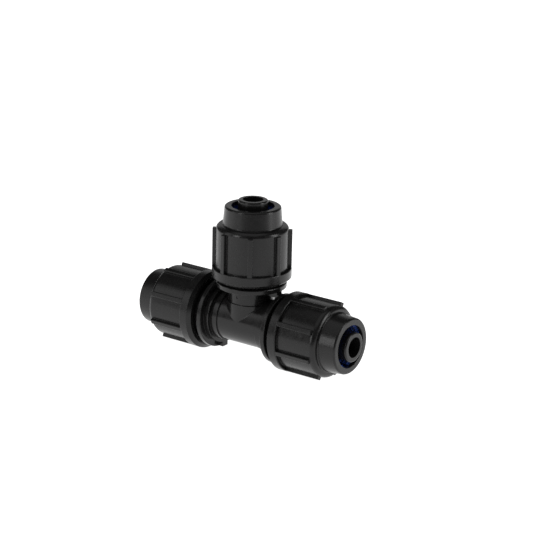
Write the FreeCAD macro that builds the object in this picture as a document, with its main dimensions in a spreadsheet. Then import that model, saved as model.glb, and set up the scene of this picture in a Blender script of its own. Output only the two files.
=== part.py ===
"""Compression tee for 3/4 inch rural polyethylene pipe.

The frame: the run lies along X and the branch points along +Z. The origin is
the point where the axes of the run and the branch cross. Lengths are in
millimetres. Every port is described in its own local frame, whose +Z points
out of the port, with distances measured from the origin.
"""
import FreeCAD, Part
import math
import os

import Sketcher
from FreeCAD import Vector

# alias, value, meaning. Radii end in _r, lengths in _len.
SIZES = [
    # what the fitting takes, and the way the water goes
    ("pipe_r", 12.35, "outer radius of the pipe"),
    ("pipe_room", 0.55, "radial room round the pipe in the socket"),
    ("tail_r", 9.4, "outer radius of the tail, a push fit in the pipe's bore"),
    ("bore_r", 6.45, "radius of the waterway in each tail"),
    ("chamber_r", 8.5, "radius of the waterway at the centre"),
    ("chamber_len", 12.0, "centre to the end of the wide waterway"),
    ("funnel_len", 6.0, "length over which the waterway narrows"),
    ("tail_len", 52.3, "flange face to the tip of the tail"),
    ("tip_round", 1.0, "rounding of the tail's tip"),
    # the moulded body
    ("corner_room", 4.3, "flange's edge to the outer face of the next arm's flange"),
    ("flange_rise", 3.8, "height of the stop flange above the spigot"),
    ("flange_len", 3.3, "thickness of the stop flange"),
    ("flange_round", 0.6, "rounding of the flange's edges"),
    ("run_wall", 2.75, "radial thickness of the run's barrel round a socket"),
    ("branch_share", 0.984, "radius of the branch's barrel over the run's"),
    ("branch_neck_share", 0.936, "radius of the branch's neck over the run's barrel"),
    ("crotch_share", 0.051, "fillet at the branch's foot over the run's radius"),
    ("run_barrel_inset", 0.4, "branch's side in to the step up to the run's neck"),
    ("branch_step_share", 0.888, "height of the branch's step over the run's radius"),
    ("neck_step", 0.7, "height of the run's necks above their barrel"),
    ("collar_rise", 2.1, "height of the collar above the run's neck"),
    ("collar_len", 3.4, "length of the collar"),
    ("lug_inset", 0.5, "depth of the lugs' tops under the flange"),
    ("lug_width", 5.0, "width of a lug"),
    ("lug_len", 3.3, "length of a lug along the arm"),
    ("gate_r", 0.7, "radius of the gate mark on the branch"),
    ("gate_depth", 0.35, "depth of the gate mark"),
    ("gate_drop", 4.6, "flange's back down to the gate mark"),
    ("spigot_wall", 2.0, "radial thickness of the spigot round the seal"),
    ("spigot_len", 26.0, "flange face to the mouth of the spigot"),
    ("socket_len", 32.0, "mouth of the spigot to the floor of the pipe socket"),
    ("seat_len", 7.5, "mouth of the spigot to the floor of the seal seat"),
    ("mouth_bevel", 0.6, "bevels at the mouth of the spigot"),
    # the thread that the body and the nuts share
    ("thread_pitch", 4.0, "advance per turn, right-handed"),
    ("thread_height", 1.4, "height of a ridge"),
    ("thread_foot", 2.3, "axial width of a ridge at its foot"),
    ("thread_crest", 1.2, "axial width of a ridge at its crest"),
    ("thread_room", 0.25, "radial room between ridge and root"),
    ("thread_sink", 0.35, "depth by which a ridge is rooted in its wall"),
    ("male_start", 3.5, "flange face to the start of the male ridge"),
    ("male_turns", 3.0, "turns of the male ridge"),
    ("female_turns", 2.5, "turns of the female ridge"),
    # the nut
    ("nut_len", 47.0, "rear to face"),
    ("nut_rear_bevel", 2.4, "radial size of the bevel at the rear"),
    ("nut_rear_len", 2.0, "axial size of the bevel at the rear"),
    ("nut_wall", 2.75, "radial thickness of the panels between the ribs"),
    ("nut_ring_rise", 2.2, "height of the nut's flange ring above the panels"),
    ("nut_ring_len", 5.7, "length of the flange ring"),
    ("shoulder_len", 35.2, "rear of the nut to its shoulder"),
    ("shoulder_round", 3.3, "rounding of the shoulder"),
    ("nose_root", 0.7, "fillet at the foot of the nose"),
    ("shoulder_step", 4.15, "radial step from the panels to the nose"),
    ("nose_draft", 1.05, "radial narrowing of the nose towards its face"),
    ("nose_round", 1.3, "rounding of the face's rim"),
    ("rib_count", 8, "number of ribs"),
    ("rib_width", 3.1, "width of a rib"),
    ("rib_sunk", 0.15, "depth of a rib's top under the flange ring"),
    ("rib_len", 24.5, "flange ring to the front end of a rib"),
    ("rib_round", 0.45, "rounding of a rib's edges"),
    ("mouth_room", 0.95, "radial room round the pipe in the nut's mouth"),
    ("lip_len", 2.8, "thickness of the lip at the nut's mouth"),
    ("lip_round", 0.5, "rounding of the mouth's edges"),
    ("taper_step", 0.1, "step from the thrust ring's pocket to the taper"),
    # the loose rings inside each nut
    ("end_room", 1.0, "axial room past the mouth of the spigot"),
    ("ring_room", 0.15, "room between rings, and between ring and wall"),
    ("thrust_len", 2.2, "thickness of the thrust ring's flange"),
    ("thrust_inset", 0.6, "radial step from the spigot to the thrust ring's flange"),
    ("seal_cord_r", 1.9, "radius of the seal's cord"),
    ("seal_room", 0.2, "radial room between the pipe and the seal"),
    ("seat_room", 0.05, "room between the seal and its seat"),
    ("grip_thin", 1.65, "thickness of the grip ring behind its last tooth"),
    ("tooth_height", 0.7, "height of a tooth"),
    ("tooth_slope", 0.75, "share of a tooth's length that slopes"),
    ("tooth_sink", 0.35, "depth by which a tooth is rooted in its ring"),
    ("tooth_count", 5, "number of teeth"),
    ("grip_room", 0.15, "radial room between the pipe and the teeth"),
    ("grip_gap", 3.6, "width of the slit in the grip ring"),
    ("grip_round", 0.4, "rounding of the grip ring's front rim"),
    ("overrun", 1.5, "how far cuts and joins run past a face"),
    # how far each nut is unscrewed from tight, in degrees
    ("turn_top", 124.0, "branch nut"),
    ("turn_right", 242.0, "nut of the +X port"),
    ("turn_left", 338.5, "nut of the -X port"),
]

# How near a point has to be to a line to count as on it, and the least volume
# that a cut has to take away.
NEAR = 0.002
LEAST_CUT = 0.01

doc = FreeCAD.newDocument("CompressionTee")
sheet = doc.addObject("Spreadsheet::Sheet", "Sizes")
for row, (alias, value, meaning) in enumerate(SIZES, 1):
    sheet.set(f"A{row}", alias)
    sheet.set(f"B{row}", str(value))
    sheet.set(f"C{row}", meaning)
    sheet.setAlias(f"B{row}", alias)
doc.recompute()

# Lengths and radii worked out from the sheet, as expressions. The body first.
SOCKET_R = "(Sizes.pipe_r + Sizes.pipe_room)"
SEAT_R = "(Sizes.pipe_r + Sizes.seal_room + 2 * Sizes.seal_cord_r + Sizes.seat_room)"
SPIGOT_R = f"({SEAT_R} + Sizes.spigot_wall)"
FLANGE_R = f"({SPIGOT_R} + Sizes.flange_rise)"
RUN_R = f"({SOCKET_R} + Sizes.run_wall)"
BRANCH_R = f"({RUN_R} * Sizes.branch_share)"
RUN_NECK_R = f"({RUN_R} + Sizes.neck_step)"
BRANCH_NECK_R = f"({RUN_R} * Sizes.branch_neck_share)"
COLLAR_R = f"({RUN_NECK_R} + Sizes.collar_rise)"
LUG_R = f"({FLANGE_R} - Sizes.lug_inset)"
MALE_FOOT_R = f"({SPIGOT_R} - Sizes.thread_sink)"
MALE_CREST_R = f"({SPIGOT_R} + Sizes.thread_height)"
ARM_LEN = f"({FLANGE_R} + Sizes.corner_room)"
RUN_BARREL_LEN = f"({BRANCH_R} - Sizes.run_barrel_inset)"
BRANCH_BARREL_LEN = f"({RUN_R} * Sizes.branch_step_share)"
SPIGOT_END = f"({ARM_LEN} + Sizes.spigot_len)"
TAIL_END = f"({ARM_LEN} + Sizes.tail_len)"
FLANGE_BACK = f"({ARM_LEN} - Sizes.flange_len)"
IN_FLANGE = f"({FLANGE_BACK} + Sizes.overrun)"
COLLAR_BACK = f"({FLANGE_BACK} - Sizes.collar_len)"
LUG_BACK = f"({FLANGE_BACK} - Sizes.lug_len)"
SOCKET_FLOOR = f"({SPIGOT_END} - Sizes.socket_len)"
SEAT_FLOOR = f"({SPIGOT_END} - Sizes.seat_len)"
FUNNEL_END = "(Sizes.chamber_len + Sizes.funnel_len)"
# The nut and the rings in it, with lengths from the nut's rear.
NUT_ROOT_R = f"({MALE_CREST_R} + Sizes.thread_room)"
PANEL_R = f"({NUT_ROOT_R} + Sizes.nut_wall)"
NUT_RING_R = f"({PANEL_R} + Sizes.nut_ring_rise)"
RIB_TOP_R = f"({NUT_RING_R} - Sizes.rib_sunk)"
NOSE_BASE_R = f"({PANEL_R} - Sizes.shoulder_step)"
NOSE_FACE_R = f"({NOSE_BASE_R} - Sizes.nose_draft)"
MOUTH_R = "(Sizes.pipe_r + Sizes.mouth_room)"
THRUST_R = f"({SPIGOT_R} - Sizes.thrust_inset)"
POCKET_R = f"({THRUST_R} + Sizes.ring_room)"
GRIP_IN_R = "(Sizes.pipe_r + Sizes.grip_room)"
GRIP_BORE_R = f"({GRIP_IN_R} + Sizes.tooth_height)"
TAPER_BIG_R = f"({THRUST_R} - Sizes.taper_step)"
TAPER_SMALL_R = f"({GRIP_BORE_R} + Sizes.grip_thin + Sizes.ring_room)"
RING_TOP = "(Sizes.nut_rear_len + Sizes.nut_ring_len)"
RIB_FRONT = f"({RING_TOP} + Sizes.rib_len)"
LIP_BACK = "(Sizes.nut_len - Sizes.lip_len)"
NUT_BORE_END = "(Sizes.spigot_len + Sizes.end_room)"
THRUST_BACK = "(Sizes.spigot_len + Sizes.ring_room)"
THRUST_FRONT = f"({THRUST_BACK} + Sizes.thrust_len)"
THRUST_TIP = "(Sizes.spigot_len - Sizes.seat_len + 2 * Sizes.seal_cord_r + Sizes.ring_room)"
TAPER_START = f"({THRUST_FRONT} + Sizes.ring_room)"
GRIP_FRONT = f"({LIP_BACK} - Sizes.ring_room)"
TOOTH_ROOM = f"({GRIP_FRONT} - {TAPER_START} - 2 * Sizes.grip_round)"
TOOTH_LEN = f"({TOOTH_ROOM} / Sizes.tooth_count)"

# The three ports: name, rotation of the local frame, turn of its nut.
PORTS = [
    ("top", "rotationy(0)", "Sizes.turn_top"),
    ("right", "rotationy(90)", "Sizes.turn_right"),
    ("left", "rotationy(-90)", "Sizes.turn_left"),
]


def size(expression):
    """The number that an expression of the sheet's cells comes to."""
    value = sheet.evalExpression(expression)
    return float(getattr(value, "Value", value))


def new_body(name):
    body = doc.addObject("PartDesign::Body", name)
    body.Label = name
    return body


def origin_plane(body, role):
    return next(item for item in body.Origin.OriginFeatures if item.Role == role)


def new_sketch(body, name, role="XZ_Plane", height=None):
    """An empty sketch on one of the body's own planes, or height above it."""
    sketch = body.newObject("Sketcher::SketchObject", name)
    sketch.AttachmentSupport = [(origin_plane(body, role), "")]
    sketch.MapMode = "FlatFace"
    if height:
        sketch.setExpression("AttachmentOffset.Base.z", height)
    return sketch


def outline(body, name, corners, role="XZ_Plane", height=None):
    """A closed polygon whose corners are pairs of expressions (x, y)."""
    sketch = new_sketch(body, name, role, height)
    points = [Vector(size(x), size(y), 0) for x, y in corners]
    count = len(points)
    for index, start in enumerate(points):
        sketch.addGeometry(Part.LineSegment(start, points[(index + 1) % count]))
    for index in range(count):
        after = (index + 1) % count
        sketch.addConstraint(Sketcher.Constraint("Coincident", index, 2, after, 1))
    for index, (x, y) in enumerate(corners):
        for kind, axis, expression in (("DistanceX", "x", x), ("DistanceY", "y", y)):
            number = sketch.addConstraint(
                Sketcher.Constraint(kind, -1, 1, index, 1, size(expression)))
            sketch.renameConstraint(number, f"{axis}{index}")
            sketch.setExpression(f"Constraints.{axis}{index}", expression)
    return sketch


def round_outline(body, name, radius, role, centre_y="0", height=None):
    """A circle on the sketch's vertical axis."""
    sketch = new_sketch(body, name, role, height)
    circle = Part.Circle(Vector(0, size(centre_y), 0), Vector(0, 0, 1), size(radius))
    sketch.addGeometry(circle)
    sketch.addConstraint(Sketcher.Constraint("PointOnObject", 0, 3, -2))
    place = sketch.addConstraint(
        Sketcher.Constraint("DistanceY", -1, 1, 0, 3, size(centre_y)))
    sketch.renameConstraint(place, "centre")
    sketch.setExpression("Constraints.centre", centre_y)
    width = sketch.addConstraint(Sketcher.Constraint("Radius", 0, size(radius)))
    sketch.renameConstraint(width, "radius")
    sketch.setExpression("Constraints.radius", radius)
    return sketch


def revolve(body, name, sketch, axis="V_Axis", kind="Revolution"):
    feature = body.newObject(f"PartDesign::{kind}", name)
    feature.Profile = sketch
    feature.ReferenceAxis = (sketch, [axis])
    feature.Angle = 360
    sketch.Visibility = False
    return feature


def groove(body, name, sketch, axis="V_Axis"):
    """A turned cut, which has to take material away."""
    doc.recompute()
    before = body.Shape.Volume
    feature = revolve(body, name, sketch, axis, "Groove")
    doc.recompute()
    if body.Shape.Volume > before - LEAST_CUT:
        raise RuntimeError(f"{name} cuts nothing")
    return feature


def pad(body, name, sketch, length, midplane=False):
    feature = body.newObject("PartDesign::Pad", name)
    feature.Profile = sketch
    feature.setExpression("Length", length)
    feature.Midplane = midplane
    return feature


def pocket(body, name, sketch, length, midplane=False, reverse=False):
    """A straight cut, which has to take material away."""
    doc.recompute()
    before = body.Shape.Volume
    feature = body.newObject("PartDesign::Pocket", name)
    feature.Profile = sketch
    feature.setExpression("Length", length)
    feature.Midplane = midplane
    feature.Reversed = reverse
    doc.recompute()
    if body.Shape.Volume > before - LEAST_CUT:
        raise RuntimeError(f"{name} cuts nothing")
    return feature


def ridge(body, name, sketch, axis, turns, backward=False):
    """A right-handed helical ridge of the shared thread's pitch."""
    feature = body.newObject("PartDesign::AdditiveHelix", name)
    feature.Profile = sketch
    feature.ReferenceAxis = (sketch, [axis])
    feature.Mode = "pitch-turns-angle"
    feature.setExpression("Pitch", "Sizes.thread_pitch")
    feature.setExpression("Turns", turns)
    feature.Reversed = backward
    return feature


def edges_where(body, test):
    """Names of the body's edges of which every sampled point passes the test."""
    doc.recompute()
    names = []
    for number, edge in enumerate(body.Shape.Edges, 1):
        points = edge.discretize(Number=5)
        if all(test(point) for point in points):
            names.append(f"Edge{number}")
    return names


def soften(body, name, test, amount, kind="Fillet"):
    """A fillet or chamfer on every edge that passes the test."""
    names = edges_where(body, test)
    if not names:
        raise RuntimeError(f"{name} finds no edge")
    base = body.Tip
    feature = body.newObject(f"PartDesign::{kind}", name)
    feature.Base = (base, names)
    feature.setExpression("Radius" if kind == "Fillet" else "Size", amount)
    doc.recompute()
    if "Invalid" in feature.State:
        raise RuntimeError(f"{name} fails: {feature.getStatusString()}")
    return feature


def ring_test(places, axis="z"):
    """A test for circles round an axis; places are pairs (radius, position)."""
    spots = [(size(radius), size(position)) for radius, position in places]

    def test(point):
        along = getattr(point, axis)
        across = math.sqrt(max(point.Length ** 2 - along ** 2, 0))
        return any(abs(across - r) < NEAR and abs(along - p) < NEAR for r, p in spots)
    return test


def minus(expression):
    return f"(-1 * ({expression}))"


def both_ways(places):
    """The same places on both run arms."""
    return places + [(radius, minus(position)) for radius, position in places]


def tooth_outline(body, name, foot_r, crest_r, middle, flip):
    """Section of a thread ridge. flip gives (x, y) from (radius, length)."""
    half_foot = "Sizes.thread_foot / 2"
    half_crest = "Sizes.thread_crest / 2"
    corners = [(foot_r, f"{middle} - {half_foot}"), (crest_r, f"{middle} - {half_crest}"),
               (crest_r, f"{middle} + {half_crest}"), (foot_r, f"{middle} + {half_foot}")]
    return outline(body, name, [flip(*corner) for corner in corners])


def make_tee_body():
    """The one moulding: three arms with flange, spigot, thread, socket and tail."""
    body = new_body("tee_body")

    # Plain barrels, flanges, spigots and the solid cores of the tails.
    half = [(TAIL_END, "0"), (TAIL_END, "Sizes.tail_r"), (SPIGOT_END, "Sizes.tail_r"),
            (SPIGOT_END, SPIGOT_R), (ARM_LEN, SPIGOT_R),
            (ARM_LEN, FLANGE_R), (FLANGE_BACK, FLANGE_R)]
    run_half = half + [(FLANGE_BACK, RUN_R)]
    mirrored = [(minus(x), y) for x, y in reversed(run_half)]
    run = outline(body, "RunOutline", run_half + mirrored)
    revolve(body, "Run", run, "H_Axis")
    branch_half = [(r, z) for z, r in half]
    branch_half += [(BRANCH_NECK_R, FLANGE_BACK), (BRANCH_NECK_R, BRANCH_BARREL_LEN),
                    (BRANCH_R, BRANCH_BARREL_LEN), (BRANCH_R, "0"), ("0", "0")]
    branch = outline(body, "BranchOutline", branch_half)
    revolve(body, "Branch", branch)
    run_r, branch_r, neck_r = size(RUN_R), size(BRANCH_R), size(BRANCH_NECK_R)

    def on_crotch(point):
        on_run = abs(math.hypot(point.y, point.z) - run_r) < NEAR
        across = math.hypot(point.x, point.y)
        return on_run and (abs(across - branch_r) < NEAR or abs(across - neck_r) < NEAR)
    soften(body, "CrotchFillet", on_crotch, f"{RUN_R} * Sizes.crotch_share")

    # Small rounding of the flanges.
    flange_edges = [(FLANGE_R, FLANGE_BACK), (FLANGE_R, ARM_LEN)]
    soften(body, "RunFlangeRound", ring_test(both_ways(flange_edges), "x"),
           "Sizes.flange_round")
    soften(body, "TopFlangeRound", ring_test(flange_edges), "Sizes.flange_round")

    # Rounded tips, so that the pipe goes on easily, and bevelled spigot mouths.
    tips = [("Sizes.tail_r", TAIL_END)]
    mouths = [(SPIGOT_R, SPIGOT_END)]
    soften(body, "RunTips", ring_test(both_ways(tips), "x"), "Sizes.tip_round")
    soften(body, "TopTip", ring_test(tips), "Sizes.tip_round")
    soften(body, "RunMouths", ring_test(both_ways(mouths), "x"), "Sizes.mouth_bevel", "Chamfer")
    soften(body, "TopMouth", ring_test(mouths), "Sizes.mouth_bevel", "Chamfer")

    # Necks and collars of the run.
    inside = "Sizes.tail_r"
    for side, sign in (("Right", "1"), ("Left", "-1")):
        steps = [(RUN_BARREL_LEN, inside), (RUN_BARREL_LEN, RUN_NECK_R),
                 (COLLAR_BACK, RUN_NECK_R), (COLLAR_BACK, COLLAR_R),
                 (IN_FLANGE, COLLAR_R), (IN_FLANGE, inside)]
        ring = outline(body, f"{side}NeckOutline", [(f"{sign} * ({s})", r) for s, r in steps])
        revolve(body, f"{side}Neck", ring, "H_Axis")

    # Lugs in the plane of the tee, behind each flange.
    lugs = {}
    for side, sign in (("Right", "1"), ("Left", "-1")):
        for end, up in (("Upper", "1"), ("Lower", "-1")):
            lugs[f"{side}{end}"] = [
                (f"{sign} * {LUG_BACK}", f"{up} * Sizes.tail_r"),
                (f"{sign} * {IN_FLANGE}", f"{up} * Sizes.tail_r"),
                (f"{sign} * {IN_FLANGE}", f"{up} * {LUG_R}"),
                (f"{sign} * {LUG_BACK}", f"{up} * {LUG_R}")]
        lugs[f"Top{side}"] = [
            (f"{sign} * Sizes.tail_r", LUG_BACK), (f"{sign} * Sizes.tail_r", IN_FLANGE),
            (f"{sign} * {LUG_R}", IN_FLANGE), (f"{sign} * {LUG_R}", LUG_BACK)]
    for name, corners in lugs.items():
        lug = outline(body, f"{name}LugOutline", corners)
        pad(body, f"{name}Lug", lug, "Sizes.lug_width", midplane=True)

    # Male threads.
    middle = f"({ARM_LEN} + Sizes.male_start + Sizes.thread_foot / 2)"
    section = (MALE_FOOT_R, MALE_CREST_R, middle)
    top = tooth_outline(body, "TopTooth", *section, lambda r, s: (r, s))
    ridge(body, "TopThread", top, "V_Axis", "Sizes.male_turns")
    right = tooth_outline(body, "RightTooth", *section, lambda r, s: (s, minus(r)))
    ridge(body, "RightThread", right, "H_Axis", "Sizes.male_turns")
    left = tooth_outline(body, "LeftTooth", *section, lambda r, s: (minus(s), r))
    ridge(body, "LeftThread", left, "H_Axis", "Sizes.male_turns", backward=True)

    # Pipe sockets with the seal seats at their mouths.
    past = f"({SPIGOT_END} + Sizes.overrun)"
    socket = [(SOCKET_FLOOR, "Sizes.tail_r"), (SOCKET_FLOOR, SOCKET_R),
              (SEAT_FLOOR, SOCKET_R), (SEAT_FLOOR, SEAT_R), (SPIGOT_END, SEAT_R),
              (past, f"{SEAT_R} + Sizes.overrun"), (past, "Sizes.tail_r")]
    for side, sign in (("Right", "1"), ("Left", "-1")):
        corners = [(f"{sign} * ({s})", r) for s, r in socket]
        groove(body, f"{side}Socket", outline(body, f"{side}SocketOutline", corners), "H_Axis")
    groove(body, "TopSocket", outline(body, "TopSocketOutline", [(r, s) for s, r in socket]))

    # The waterway.
    past_tail = f"({TAIL_END} + Sizes.overrun)"
    water = [(past_tail, "0"), (past_tail, "Sizes.bore_r"),
             (FUNNEL_END, "Sizes.bore_r"), ("Sizes.chamber_len", "Sizes.chamber_r")]
    run_water = water + [(minus(x), y) for x, y in reversed(water)]
    groove(body, "RunWaterway", outline(body, "RunWaterOutline", run_water), "H_Axis")
    top_water = [(r, z) for z, r in water] + [("Sizes.chamber_r", "0"), ("0", "0")]
    groove(body, "TopWaterway", outline(body, "TopWaterOutline", top_water))

    # The mark that the moulding's gate leaves on the front of the branch.
    gate_up = f"({FLANGE_BACK} - Sizes.gate_drop)"
    gate = round_outline(body, "GateOutline", "Sizes.gate_r", "XZ_Plane", gate_up,
                         f"({BRANCH_NECK_R} - Sizes.gate_depth)")
    pocket(body, "GateMark", gate, "Sizes.overrun", reverse=True)
    return body


def make_nut(port, frame, turn):
    """A compression nut, its rear at the local origin before it is placed."""
    body = new_body(f"nut_{port}")
    corners = [(MOUTH_R, "Sizes.nut_len"), (NOSE_FACE_R, "Sizes.nut_len"),
               (NOSE_BASE_R, "Sizes.shoulder_len"),
               (PANEL_R, "Sizes.shoulder_len"),
               (PANEL_R, RING_TOP), (NUT_RING_R, RING_TOP),
               (NUT_RING_R, "Sizes.nut_rear_len"),
               (f"{NUT_RING_R} - Sizes.nut_rear_bevel", "0"), (NUT_ROOT_R, "0"),
               (NUT_ROOT_R, NUT_BORE_END), (POCKET_R, NUT_BORE_END),
               (POCKET_R, TAPER_START),
               (TAPER_BIG_R, TAPER_START), (TAPER_SMALL_R, LIP_BACK),
               (MOUTH_R, LIP_BACK)]
    revolve(body, "Shell", outline(body, "ShellOutline", corners))
    shoulder = [(PANEL_R, "Sizes.shoulder_len")]
    soften(body, "ShoulderRound", ring_test(shoulder), "Sizes.shoulder_round")
    root = [(NOSE_BASE_R, "Sizes.shoulder_len")]
    soften(body, "NoseRoot", ring_test(root), "Sizes.nose_root")
    face = [(NOSE_FACE_R, "Sizes.nut_len")]
    soften(body, "NoseRound", ring_test(face), "Sizes.nose_round")
    mouth = [(MOUTH_R, "Sizes.nut_len"), (MOUTH_R, LIP_BACK)]
    soften(body, "LipRound", ring_test(mouth), "Sizes.lip_round")
    ring = [(NUT_RING_R, RING_TOP)]
    soften(body, "RingRound", ring_test(ring), "Sizes.flange_round")

    # One rib, repeated round the barrel.
    half = "Sizes.rib_width / 2"
    inside = f"({PANEL_R} - Sizes.overrun)"
    section = [(inside, minus(half)), (RIB_TOP_R, minus(half)),
               (RIB_TOP_R, half), (inside, half)]
    rib_base = f"({RING_TOP} - Sizes.overrun)"
    rib = outline(body, "RibOutline", section, "XY_Plane", rib_base)
    one_rib = pad(body, "Rib", rib, "Sizes.rib_len + Sizes.overrun")
    pattern = body.newObject("PartDesign::PolarPattern", "Ribs")
    pattern.Originals = [one_rib]
    pattern.Axis = (rib, ["N_Axis"])
    pattern.Angle = 360
    pattern.setExpression("Occurrences", "Sizes.rib_count")
    body.Tip = pattern
    doc.recompute()
    top_r, front = size(RIB_TOP_R), size(RIB_FRONT)
    corner_r = math.hypot(top_r, size(half))
    behind = size(RING_TOP) - size("Sizes.overrun")

    def on_rib(point):
        across = math.hypot(point.x, point.y)
        on_side = abs(across - corner_r) < NEAR and behind < point.z < front + NEAR
        on_front = abs(point.z - front) < NEAR and across > top_r - NEAR
        return on_side or on_front
    soften(body, "RibRound", on_rib, "Sizes.rib_round")

    # Female thread, half a pitch away from the male one.
    foot = f"({NUT_ROOT_R} + Sizes.thread_sink)"
    crest = f"({NUT_ROOT_R} - Sizes.thread_height)"
    middle = "(Sizes.male_start + Sizes.thread_foot / 2 + Sizes.thread_pitch / 2)"
    tooth = tooth_outline(body, "Tooth", foot, crest, middle, lambda r, s: (r, s))
    ridge(body, "Thread", tooth, "V_Axis", "Sizes.female_turns")
    place(body, frame, turn, turn)
    return body


def place(body, frame, turn, spin="0"):
    """Put a piece that travels with a nut on its port.

    The piece stands the nut's travel away from its tight place, which is
    with its local origin on the flange, and is turned by spin.
    """
    out = f"({ARM_LEN} + Sizes.thread_pitch * {turn} / 360)"
    body.setExpression(
        "Placement",
        f"placement({frame} * vector(0; 0; {out}); {frame} * rotationz({spin}))")


def make_thrust_ring(port, frame, turn):
    """The ring that the grip ring pushes on the seal."""
    body = new_body(f"thrust_ring_{port}")
    pilot = f"({SEAT_R} - Sizes.ring_room)"
    corners = [(SOCKET_R, THRUST_TIP), (pilot, THRUST_TIP), (pilot, THRUST_BACK),
               (THRUST_R, THRUST_BACK), (THRUST_R, THRUST_FRONT),
               (SOCKET_R, THRUST_FRONT)]
    revolve(body, "Ring", outline(body, "RingOutline", corners))
    tip = [(pilot, THRUST_TIP), (THRUST_R, THRUST_FRONT)]
    soften(body, "Bevels", ring_test(tip), "Sizes.grip_round", "Chamfer")
    place(body, frame, turn)
    return body


def make_grip_ring(port, frame, turn):
    """The split ring whose teeth bite the pipe as the nut's taper closes it."""
    body = new_body(f"grip_ring_{port}")
    slope = f"(({TAPER_BIG_R} - {TAPER_SMALL_R}) / ({LIP_BACK} - {TAPER_START}))"
    back_r = f"({TAPER_BIG_R} - Sizes.ring_room)"
    front_r = f"({back_r} - {slope} * ({GRIP_FRONT} - {TAPER_START}))"
    corners = [(GRIP_BORE_R, TAPER_START), (back_r, TAPER_START),
               (front_r, GRIP_FRONT), (GRIP_BORE_R, GRIP_FRONT)]
    revolve(body, "Ring", outline(body, "RingOutline", corners))
    for index in range(int(size("Sizes.tooth_count"))):
        foot = f"({TAPER_START} + Sizes.grip_round + {TOOTH_LEN} * {index})"
        tip = f"({foot} + {TOOTH_LEN} * Sizes.tooth_slope)"
        root = f"{GRIP_BORE_R} + Sizes.tooth_sink"
        tooth = [(root, foot), (GRIP_BORE_R, foot), (GRIP_IN_R, tip), (root, tip)]
        revolve(body, f"Tooth{index}", outline(body, f"Tooth{index}Outline", tooth))
    rim = [(front_r, GRIP_FRONT)]
    soften(body, "FrontRound", ring_test(rim), "Sizes.grip_round")
    half = "Sizes.grip_gap / 2"
    slit = [("0", minus(half)), (PANEL_R, minus(half)),
            (PANEL_R, half), ("0", half)]
    cut = outline(body, "SlitOutline", slit, "XY_Plane")
    pocket(body, "Slit", cut, "Sizes.nut_len", reverse=True)
    place(body, frame, turn)
    return body


def make_seal_ring(port, frame):
    """The O-ring that seals on the outside of the pipe."""
    ring = doc.addObject("Part::Torus", f"seal_ring_{port}")
    ring.Label = f"seal_ring_{port}"
    ring.setExpression("Radius1", "Sizes.pipe_r + Sizes.seal_room + Sizes.seal_cord_r")
    ring.setExpression("Radius2", "Sizes.seal_cord_r")
    out = f"({SEAT_FLOOR} + Sizes.seal_cord_r + Sizes.seat_room)"
    ring.setExpression("Placement",
                       f"placement({frame} * vector(0; 0; {out}); {frame})")
    return ring


nodes = [make_tee_body()]
for port, frame, turn in PORTS:
    nodes.append(make_nut(port, frame, turn))
    nodes.append(make_grip_ring(port, frame, turn))
    nodes.append(make_thrust_ring(port, frame, turn))
    nodes.append(make_seal_ring(port, frame))
doc.recompute()

failed = [item.Name for item in doc.Objects
          if "Invalid" in item.State or "Error" in item.State]
if failed:
    raise RuntimeError(f"features failed: {failed}")
for node in nodes:
    shape = node.Shape
    if shape.isNull() or not shape.isValid() or len(shape.Solids) != 1:
        raise RuntimeError(f"{node.Label} isn't one valid solid")

os.makedirs("parts", exist_ok=True)
for node in nodes:
    node.Shape.exportStep(f"parts/{node.Label}.step")
    print(node.Label, round(node.Shape.Volume), "mm3")
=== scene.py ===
import math

import bpy
from mathutils import Matrix, Vector


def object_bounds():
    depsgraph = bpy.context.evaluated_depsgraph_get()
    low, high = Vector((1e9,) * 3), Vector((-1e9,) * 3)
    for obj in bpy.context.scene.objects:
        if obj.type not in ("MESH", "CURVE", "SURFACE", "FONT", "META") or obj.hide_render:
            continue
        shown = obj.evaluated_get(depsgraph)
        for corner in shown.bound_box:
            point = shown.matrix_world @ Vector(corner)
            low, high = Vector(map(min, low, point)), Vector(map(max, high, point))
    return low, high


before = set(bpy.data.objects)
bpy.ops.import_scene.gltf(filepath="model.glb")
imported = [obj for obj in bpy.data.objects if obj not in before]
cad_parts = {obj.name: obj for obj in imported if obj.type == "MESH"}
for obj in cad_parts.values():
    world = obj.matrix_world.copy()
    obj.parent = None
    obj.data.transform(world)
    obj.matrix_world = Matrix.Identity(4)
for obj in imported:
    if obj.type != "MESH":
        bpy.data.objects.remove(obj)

MM = 0.001
cad_low, cad_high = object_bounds()
scene = bpy.context.scene


# ---------------------------------------------------------------- materials

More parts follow.
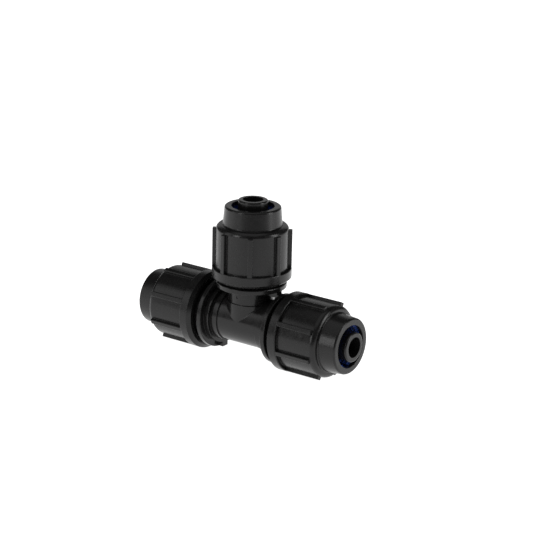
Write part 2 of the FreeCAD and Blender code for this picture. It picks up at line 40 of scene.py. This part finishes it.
class Shader:
    """A material's node tree, with short ways to add and join nodes."""

    def __init__(self, name):
        self.material = bpy.data.materials.new(name)
        self.material.use_nodes = True
        self.tree = self.material.node_tree
        self.tree.nodes.clear()
        self.surface = self.add("ShaderNodeBsdfPrincipled")
        output = self.add("ShaderNodeOutputMaterial")
        self.join(self.surface.outputs["BSDF"], output.inputs["Surface"])
        place = self.add("ShaderNodeTexCoord")
        self.place = place.outputs["Object"]

    def add(self, kind, **settings):
        node = self.tree.nodes.new(kind)
        for key, value in settings.items():
            setattr(node, key, value)
        return node

    def join(self, start, end):
        self.tree.links.new(start, end)

    def put(self, socket, value):
        """value is a number, a colour or another node's output."""
        if isinstance(value, bpy.types.NodeSocket):
            self.join(value, socket)
        else:
            socket.default_value = value

    def noise(self, size, detail, roughness=0.5, stretch=(1, 1, 1)):
        """Noise from about 0 to 1, whose features are size metres across."""
        mapping = self.add("ShaderNodeMapping")
        mapping.inputs["Scale"].default_value = [s / size for s in stretch]
        self.join(self.place, mapping.inputs["Vector"])
        noise = self.add("ShaderNodeTexNoise")
        noise.inputs["Scale"].default_value = 1.0
        noise.inputs["Detail"].default_value = detail
        noise.inputs["Roughness"].default_value = roughness
        self.join(mapping.outputs["Vector"], noise.inputs["Vector"])
        return noise.outputs["Fac"]

    def span(self, value, low, high, to_low, to_high):
        """value carried from low..high to to_low..to_high, and held at the ends."""
        node = self.add("ShaderNodeMapRange")
        self.put(node.inputs["Value"], value)
        node.inputs["From Min"].default_value = low
        node.inputs["From Max"].default_value = high
        node.inputs["To Min"].default_value = to_low
        node.inputs["To Max"].default_value = to_high
        return node.outputs["Result"]

    def maths(self, operation, first, second):
        node = self.add("ShaderNodeMath", operation=operation)
        self.put(node.inputs[0], first)
        self.put(node.inputs[1], second)
        return node.outputs[0]

    def blend(self, share, first, second):
        node = self.add("ShaderNodeMix", data_type="RGBA")
        self.put(node.inputs["Factor"], share)
        self.put(node.inputs["A"], first)
        self.put(node.inputs["B"], second)
        return node.outputs["Result"]

    def edges(self, width):
        """The normal rounded over edges width metres wide, and 1 on those edges."""
        rounded = self.add("ShaderNodeBevel", samples=6)
        rounded.inputs["Radius"].default_value = width
        flat = self.add("ShaderNodeNewGeometry")
        facing = self.add("ShaderNodeVectorMath", operation="DOT_PRODUCT")
        self.join(rounded.outputs["Normal"], facing.inputs[0])
        self.join(flat.outputs["Normal"], facing.inputs[1])
        mask = self.span(facing.outputs["Value"], 0.80, 0.995, 1.0, 0.0)
        return rounded.outputs["Normal"], mask

    def bump(self, height, distance, strength, under=None):
        node = self.add("ShaderNodeBump")
        node.inputs["Strength"].default_value = strength
        node.inputs["Distance"].default_value = distance
        self.put(node.inputs["Height"], height)
        if under is not None:
            self.join(under, node.inputs["Normal"])
        return node.outputs["Normal"]


DEEP_BLACK = (0.0062, 0.0060, 0.0060, 1)
BLACK = (0.0085, 0.0083, 0.0083, 1)
# pale grey for random scuffs and for the edges, where it is partly wear and partly a painted
# highlight
SCUFF_AND_HIGHLIGHT_GREY = (0.015, 0.0145, 0.0145, 1)
EDGE_WIDTH = 0.35 * MM
GLOSS_RANGE = 0.09


def moulded_black(name, across, gloss):
    """Black polypropylene with flow lines, fine grain, scuffs, and edges painted paler, partly
    as wear and partly as a painted highlight.

    across are the noise's scales along X, Y and Z; gloss is the least roughness.
    """
    s = Shader(name)
    flow = s.noise(9 * MM, 2.0, 0.5, across)
    cloud = s.noise(3.2 * MM, 4.0, 0.6)
    grain = s.noise(0.22 * MM, 2.0, 0.6)
    scuffs = s.span(s.noise(2.4 * MM, 6.0, 0.72, across), 0.60, 0.74, 0.0, 1.0)
    tone = s.blend(s.span(cloud, 0.3, 0.7, 0.0, 1.0), DEEP_BLACK, BLACK)
    soft, edge = s.edges(EDGE_WIDTH)
    # paler edges: partly edge wear, partly a painted highlight along the rounded edges
    edge_wear_and_highlight = s.maths("MULTIPLY", edge, s.span(cloud, 0.35, 0.6, 0.2, 1.0))
    scuffs_and_edge_highlight = s.maths("MAXIMUM", s.maths("MULTIPLY", scuffs, 0.5), s.maths("MULTIPLY", edge_wear_and_highlight, 0.7))
    tone = s.blend(scuffs_and_edge_highlight, tone, SCUFF_AND_HIGHLIGHT_GREY)
    s.join(tone, s.surface.inputs["Base Color"])
    rough = s.span(cloud, 0.25, 0.75, gloss, gloss + GLOSS_RANGE)
    rough = s.maths("ADD", rough, s.maths("MULTIPLY", scuffs, 0.10))
    s.join(rough, s.surface.inputs["Roughness"])
    s.surface.inputs["IOR"].default_value = 1.49
    s.surface.inputs["Specular IOR Level"].default_value = 0.29
    wave = s.bump(flow, 0.05 * MM, 0.35, soft)
    fine = s.bump(grain, 0.005 * MM, 0.5, wave)
    s.join(fine, s.surface.inputs["Normal"])
    return s.material


def moulded_blue(name):
    """Smooth blue acetal, a little light passing into it."""
    s = Shader(name)
    cloud = s.noise(2.0 * MM, 3.0, 0.55)
    grain = s.noise(0.18 * MM, 2.0, 0.5)
    tone = s.blend(s.span(cloud, 0.3, 0.7, 0.0, 1.0),
                   (0.012, 0.04, 0.20, 1), (0.02, 0.06, 0.27, 1))
    s.join(tone, s.surface.inputs["Base Color"])
    s.join(s.span(cloud, 0.3, 0.7, 0.24, 0.34), s.surface.inputs["Roughness"])
    s.surface.inputs["IOR"].default_value = 1.48
    s.surface.inputs["Subsurface Weight"].default_value = 0.12
    s.surface.inputs["Subsurface Radius"].default_value = (0.0004, 0.0006, 0.0012)
    s.join(s.bump(grain, 0.004 * MM, 0.5), s.surface.inputs["Normal"])
    return s.material


def rubber(name):
    """Matt nitrile with a faint bloom."""
    s = Shader(name)
    cloud = s.noise(1.5 * MM, 4.0, 0.6)
    grain = s.noise(0.1 * MM, 2.0, 0.6)
    tone = s.blend(s.span(cloud, 0.3, 0.7, 0.0, 1.0),
                   (0.012, 0.012, 0.012, 1), (0.022, 0.022, 0.021, 1))
    s.join(tone, s.surface.inputs["Base Color"])
    s.join(s.span(cloud, 0.3, 0.7, 0.55, 0.72), s.surface.inputs["Roughness"])
    s.join(s.bump(grain, 0.01 * MM, 0.7), s.surface.inputs["Normal"])
    return s.material


def dress(node, material):
    """Give a CAD node one material, on every slot it has."""
    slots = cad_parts[node].material_slots
    if not slots:
        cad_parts[node].data.materials.append(material)
    for slot in slots:
        slot.link = "OBJECT"
        slot.material = material


BODY_GLOSS, NUT_GLOSS = 0.16, 0.21
BODY = moulded_black("body_plastic", (0.6, 1, 1), BODY_GLOSS)
# the nuts' flow lines run along each port's axis
ALONG = {"top": (1, 1, 0.45), "right": (0.45, 1, 1), "left": (0.45, 1, 1)}
BLUE = moulded_blue("grip_ring_plastic")
SEAL = rubber("seal_rubber")
dress("tee_body", BODY)
for port, along in ALONG.items():
    dress(f"nut_{port}", moulded_black(f"nut_plastic_{port}", along, NUT_GLOSS))
    dress(f"grip_ring_{port}", BLUE)
    dress(f"thrust_ring_{port}", BODY)
    dress(f"seal_ring_{port}", SEAL)


# -------------------------------------------------------------------- stage

AZIMUTH = math.radians(36.783)
ELEVATION = math.radians(19.202)
ROLL = math.radians(1.135)
FLOOR_Z = cad_low.z
FLOOR_REACH = 4.0
MIDDLE = (cad_low + cad_high) / 2
TO_FRONT = Vector((math.sin(AZIMUTH), -math.cos(AZIMUTH), 0))
TO_RIGHT = Vector((math.cos(AZIMUTH), math.sin(AZIMUTH), 0))

# A light table: a pale floor that glows evenly and dims past its front edge.
TABLE_FRONT, TABLE_END = 0.30, 0.50
TABLE_GLOW, FAR_GLOW = 1.02, 0.2
WORLD_GLOW = 0.06
mesh = bpy.data.meshes.new("floor")
corners = ((-1, -1), (1, -1), (1, 1), (-1, 1))
mesh.from_pydata([(x * FLOOR_REACH, y * FLOOR_REACH, FLOOR_Z) for x, y in corners],
                 [], [(0, 1, 2, 3)])
floor = bpy.data.objects.new("floor", mesh)
scene.collection.objects.link(floor)
pale = Shader("floor_pale")
ahead = pale.add("ShaderNodeVectorMath", operation="DOT_PRODUCT")
pale.join(pale.place, ahead.inputs[0])
ahead.inputs[1].default_value = TO_FRONT
glow = pale.span(ahead.outputs["Value"], TABLE_FRONT, TABLE_END, TABLE_GLOW, FAR_GLOW)
pale.join(glow, pale.surface.inputs["Emission Strength"])
pale.surface.inputs["Emission Color"].default_value = (1, 1, 1, 1)
matt = pale.span(pale.noise(50 * MM, 3.0), 0.3, 0.7, 0.88, 0.9)
pale.join(matt, pale.surface.inputs["Roughness"])
pale.surface.inputs["Base Color"].default_value = (0.85, 0.85, 0.85, 1)
mesh.materials.append(pale.material)

world = bpy.data.worlds.new("studio")
world.use_nodes = True
sky = world.node_tree.nodes["Background"]
sky.inputs["Color"].default_value = (1.0, 1.0, 1.0, 1)
sky.inputs["Strength"].default_value = WORLD_GLOW
scene.world = world
scene.view_settings.view_transform = "Standard"


def softbox(name, front, right, up, width, height, power):
    """An area light aimed at the object, placed from its middle in metres."""
    light = bpy.data.lights.new(name, "AREA")
    light.shape = "RECTANGLE"
    light.size, light.size_y = width, height
    light.energy = power
    lamp = bpy.data.objects.new(name, light)
    offset = TO_FRONT * front + TO_RIGHT * right + Vector((0, 0, up))
    lamp.location = MIDDLE + offset
    lamp.rotation_euler = offset.to_track_quat("Z", "Y").to_euler()
    scene.collection.objects.link(lamp)


softbox("backdrop", -1.9, 0.0, 0.62, 2.4, 0.9, 3)
softbox("overhead", 0.2, -0.1, 1.1, 1.3, 1.3, 3.2)
softbox("left", 0.1, -0.95, 0.35, 0.35, 0.8, 1.2)
softbox("front", 0.62, -0.75, 0.34, 0.30, 0.60, 2.6)
softbox("right", 0.25, 0.95, 0.3, 0.3, 0.7, 4)


# ------------------------------------------------------------------- camera

DISTANCE = 1.23576
SENSOR_WIDTH, LENS = 36, 132.6961
# how far the tee's centre lies off the view's axis, as slopes to the right and up
CENTRE_RIGHT, CENTRE_UP = -0.00802183, -0.02717546
back = TO_FRONT * math.cos(ELEVATION) + Vector((0, 0, math.sin(ELEVATION)))
upright = back.cross(TO_RIGHT)
right = TO_RIGHT * math.cos(ROLL) + upright * math.sin(ROLL)
up = upright * math.cos(ROLL) - TO_RIGHT * math.sin(ROLL)
look = (-back - CENTRE_RIGHT * right - CENTRE_UP * up).normalized()
right = (right - look * right.dot(look)).normalized()
up = right.cross(look)
camera_data = bpy.data.cameras.new("camera")
camera_data.sensor_width = SENSOR_WIDTH
camera_data.lens = LENS
camera_data.clip_start, camera_data.clip_end = 0.01, 20
camera = bpy.data.objects.new("camera", camera_data)
turn = Matrix((right, up, -look)).transposed()
camera.matrix_world = Matrix.Translation(back * DISTANCE) @ turn.to_4x4()
scene.collection.objects.link(camera)
scene.camera = camera
